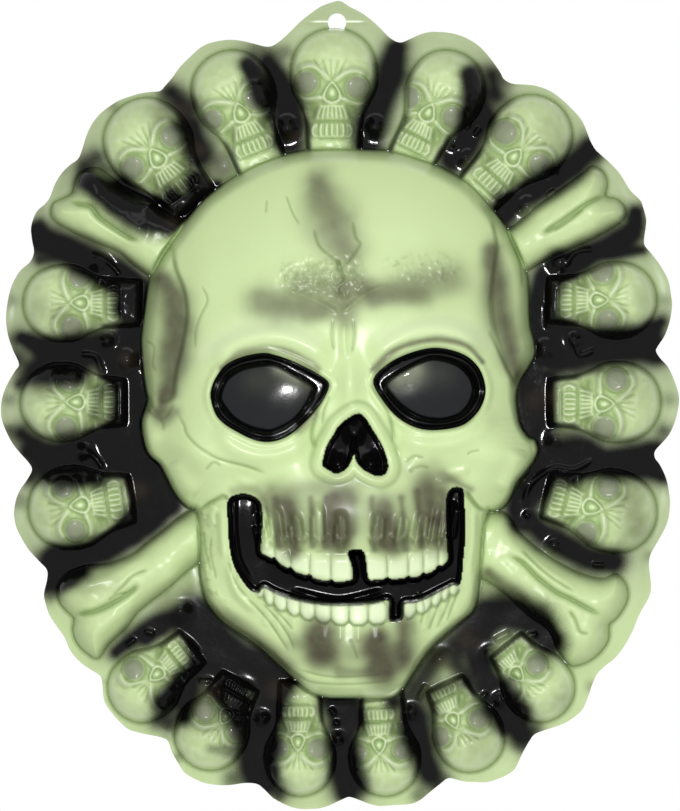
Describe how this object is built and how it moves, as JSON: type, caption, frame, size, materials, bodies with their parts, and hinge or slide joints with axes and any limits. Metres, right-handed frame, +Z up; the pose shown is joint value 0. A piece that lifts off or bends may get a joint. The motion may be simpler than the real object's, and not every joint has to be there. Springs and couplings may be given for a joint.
{
  "type": "halloween skull wall decoration",
  "caption": "Wall plaque formed from thin green and black plastic: a large domed skull over crossed bones in a ring of small skulls, with a scalloped flange and a hanging hole.",
  "frame": {"origin": "centre of the hanging hole, on the plane of the wall behind the flange", "axes": "+Z up, +X to the right seen from the front, -Y out from the wall towards the viewer"},
  "size_m": [0.4689, 0.0718, 0.5594],
  "materials": {
    "bone_green": "pale green sheet with soft black spray in the hollows",
    "tooth_green": "paler green, glossy",
    "sprayed_flange": "glossy black valleys fading to grey green at the edge",
    "recess_black": "glossy black",
    "smoky_dome": "smoky grey, very glossy"
  },
  "bodies": {
    "root": {"backing_sheet": "sprayed_flange", "cranium": "bone_green", "lower_jaw": "bone_green", "left_eye_dome": "smoky_dome", "right_eye_dome": "smoky_dome", "nose_recess": "recess_black", "mouth_recess": "recess_black", "upper_teeth": "tooth_green", "lower_teeth": "tooth_green", "upper_left_bone": "bone_green", "upper_right_bone": "bone_green", "lower_left_bone": "bone_green", "lower_right_bone": "bone_green", "small_skull_01": "bone_green", "small_skull_02": "bone_green", "small_skull_03": "bone_green", "small_skull_04": "bone_green", "small_skull_05": "bone_green", "small_skull_06": "bone_green", "small_skull_07": "bone_green", "small_skull_08": "bone_green", "small_skull_09": "bone_green", "small_skull_10": "bone_green", "small_skull_11": "bone_green", "small_skull_12": "bone_green", "small_skull_13": "bone_green", "small_skull_14": "bone_green", "small_skull_15": "bone_green", "small_skull_16": "bone_green", "small_skull_17": "bone_green"}
  },
  "joints": []
}
